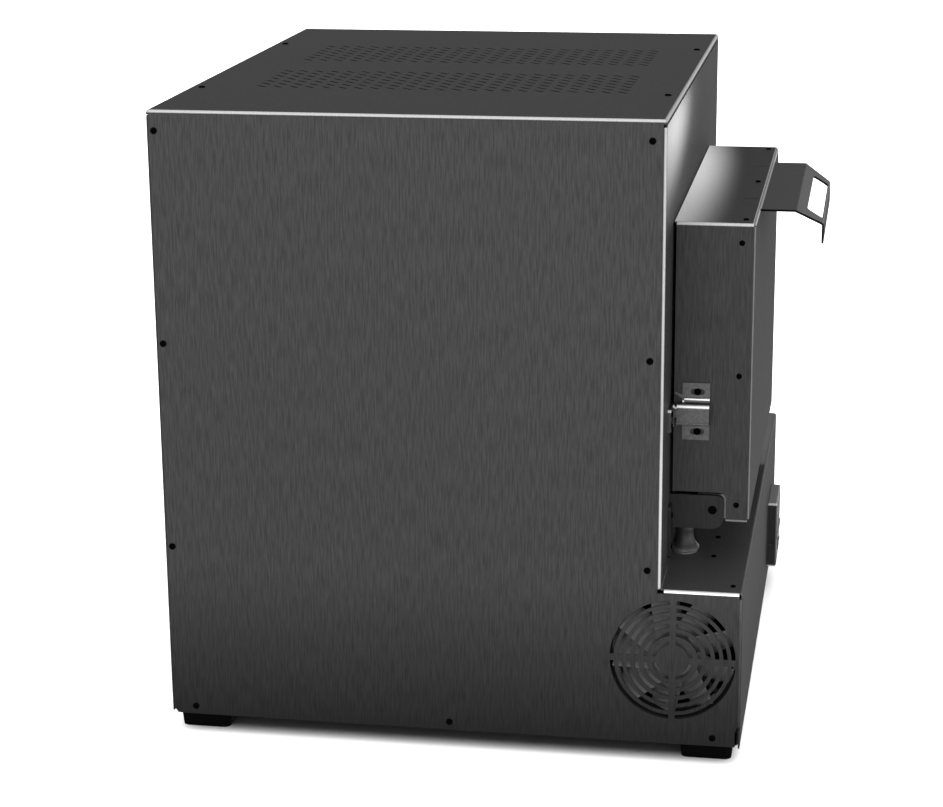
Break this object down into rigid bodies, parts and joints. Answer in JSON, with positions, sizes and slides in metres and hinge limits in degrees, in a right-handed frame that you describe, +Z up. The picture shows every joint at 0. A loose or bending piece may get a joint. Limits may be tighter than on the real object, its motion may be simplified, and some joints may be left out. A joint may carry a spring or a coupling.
{
  "type": "electric forge",
  "caption": "Free-standing electric forge: a stepped sheet-steel cabinet with a brick-lined chamber, drop-down door, side catches, cooling fan and front control unit.",
  "frame": {"origin": "middle of the overall box at the bottom of the feet", "axes": "+X to the right seen from the front, -Y out of the door's front, +Z up"},
  "size_m": [0.6024, 0.6018, 0.5982],
  "materials": {
    "dark_brushed_steel": "dark grey steel with a vertical brushed grain",
    "handle_steel": "dark satin steel, unbrushed",
    "zinc_steel": "dull zinc-coated steel",
    "bare_steel": "bright bare steel",
    "pin_steel": "blackened steel",
    "probe_steel": "heat-tinted steel",
    "black_screw": "black oxide",
    "bare_aluminium": "plain aluminium",
    "element_rod": "oxidised heating rod",
    "insulating_brick": "pale insulating fire brick",
    "refractory_board": "pale vermiculite and fibre board",
    "ceramic_fibre": "white ceramic fibre",
    "ceramic": "off-white steatite ceramic",
    "black_rubber": "matt black rubber",
    "black_plastic": "matt black plastic",
    "dark_plastic": "fine-textured dark plastic",
    "pale_plastic": "light grey plastic",
    "key_plastic": "grey silicone keys",
    "switch_plastic": "glossy black plastic",
    "lamp_plastic": "unlit lamp lens",
    "dark_glass": "smoked display window"
  },
  "bodies": {
    "root": {"left_side_panel": "dark_brushed_steel", "right_side_panel": "dark_brushed_steel", "front_fascia": "dark_brushed_steel", "rear_panel": "dark_brushed_steel", "base_pan": "dark_brushed_steel", "top_cover": "dark_brushed_steel", "top_rails": "zinc_steel", "feet": "black_rubber", "side_panel_screws": "black_screw", "cover_screws": "black_screw", "shelf_screws": "black_screw", "chamber_casing": "zinc_steel", "mouth_collar": "refractory_board", "fibre_insulation": "ceramic_fibre", "hearth_brick": "insulating_brick", "roof_brick": "insulating_brick", "side_bricks": "insulating_brick", "rear_brick": "insulating_brick", "heating_elements": "element_rod", "element_bushes": "ceramic", "terminal_block": "ceramic", "thermocouple": "probe_steel", "bay_frame": "zinc_steel", "heat_shield": "zinc_steel", "chamber_standoffs": "ceramic", "fan_frame": "black_plastic", "fan_bracket": "zinc_steel", "fan_screws": "zinc_steel", "heat_sink": "bare_aluminium", "solid_state_relays": "dark_plastic", "contactor": "pale_plastic", "mains_inlet": "black_plastic", "controller_case": "dark_plastic", "controller_window": "dark_glass", "switch_housing": "black_plastic", "indicator_lamps": "lamp_plastic", "hinge_bracket_left": "dark_brushed_steel", "hinge_bracket_right": "dark_brushed_steel", "hinge_pins": "pin_steel", "front_fitting_screws": "black_screw", "door_switch_body": "bare_steel", "catch_strikers": "bare_steel"},
    "fan": {"fan_rotor": "black_plastic"},
    "rocker": {"power_rocker": "switch_plastic"},
    "set_key": {"key_set": "key_plastic"},
    "shift_key": {"key_shift": "key_plastic"},
    "down_key": {"key_down": "key_plastic"},
    "up_key": {"key_up": "key_plastic"},
    "switch_plunger": {"door_switch_plunger": "pin_steel"},
    "door": {"door_casing": "dark_brushed_steel", "door_front_panel": "dark_brushed_steel", "door_insulation": "refractory_board", "door_gasket": "ceramic_fibre", "door_handle": "handle_steel", "door_screws": "black_screw", "catch_clips": "bare_steel", "clip_screws": "black_screw", "pivot_blocks": "zinc_steel"}
  },
  "joints": [
    {"name": "door_hinge", "type": "hinge", "parent": "root", "child": "door", "pos_m": [-0.02, -0.2093, 0.2215], "axis": [1, 0, 0], "range_deg": [0, 90]},
    {"name": "door_switch_plunger", "type": "slide", "parent": "root", "child": "switch_plunger", "axis": [0, 0, 1], "range_m": [0, 0.003]},
    {"name": "fan_spin", "type": "hinge", "parent": "root", "child": "fan", "pos_m": [-0.285, -0.1811, 0.101], "axis": [1, 0, 0], "continuous": true},
    {"name": "power_rocker", "type": "hinge", "parent": "root", "child": "rocker", "pos_m": [0.198, -0.2477, 0.044], "axis": [1, 0, 0], "range_deg": [-16, 0]},
    {"name": "key_set_press", "type": "slide", "parent": "root", "child": "set_key", "axis": [0, 1, 0], "range_m": [0, 0.001], "stiffness_N_per_m": 300},
    {"name": "key_shift_press", "type": "slide", "parent": "root", "child": "shift_key", "axis": [0, 1, 0], "range_m": [0, 0.001], "stiffness_N_per_m": 300},
    {"name": "key_down_press", "type": "slide", "parent": "root", "child": "down_key", "axis": [0, 1, 0], "range_m": [0, 0.001], "stiffness_N_per_m": 300},
    {"name": "key_up_press", "type": "slide", "parent": "root", "child": "up_key", "axis": [0, 1, 0], "range_m": [0, 0.001], "stiffness_N_per_m": 300}
  ],
  "couplings": [
    {"joint": "door_switch_plunger", "follows": "door_hinge", "m_per_rad": 0.0019099}
  ]
}
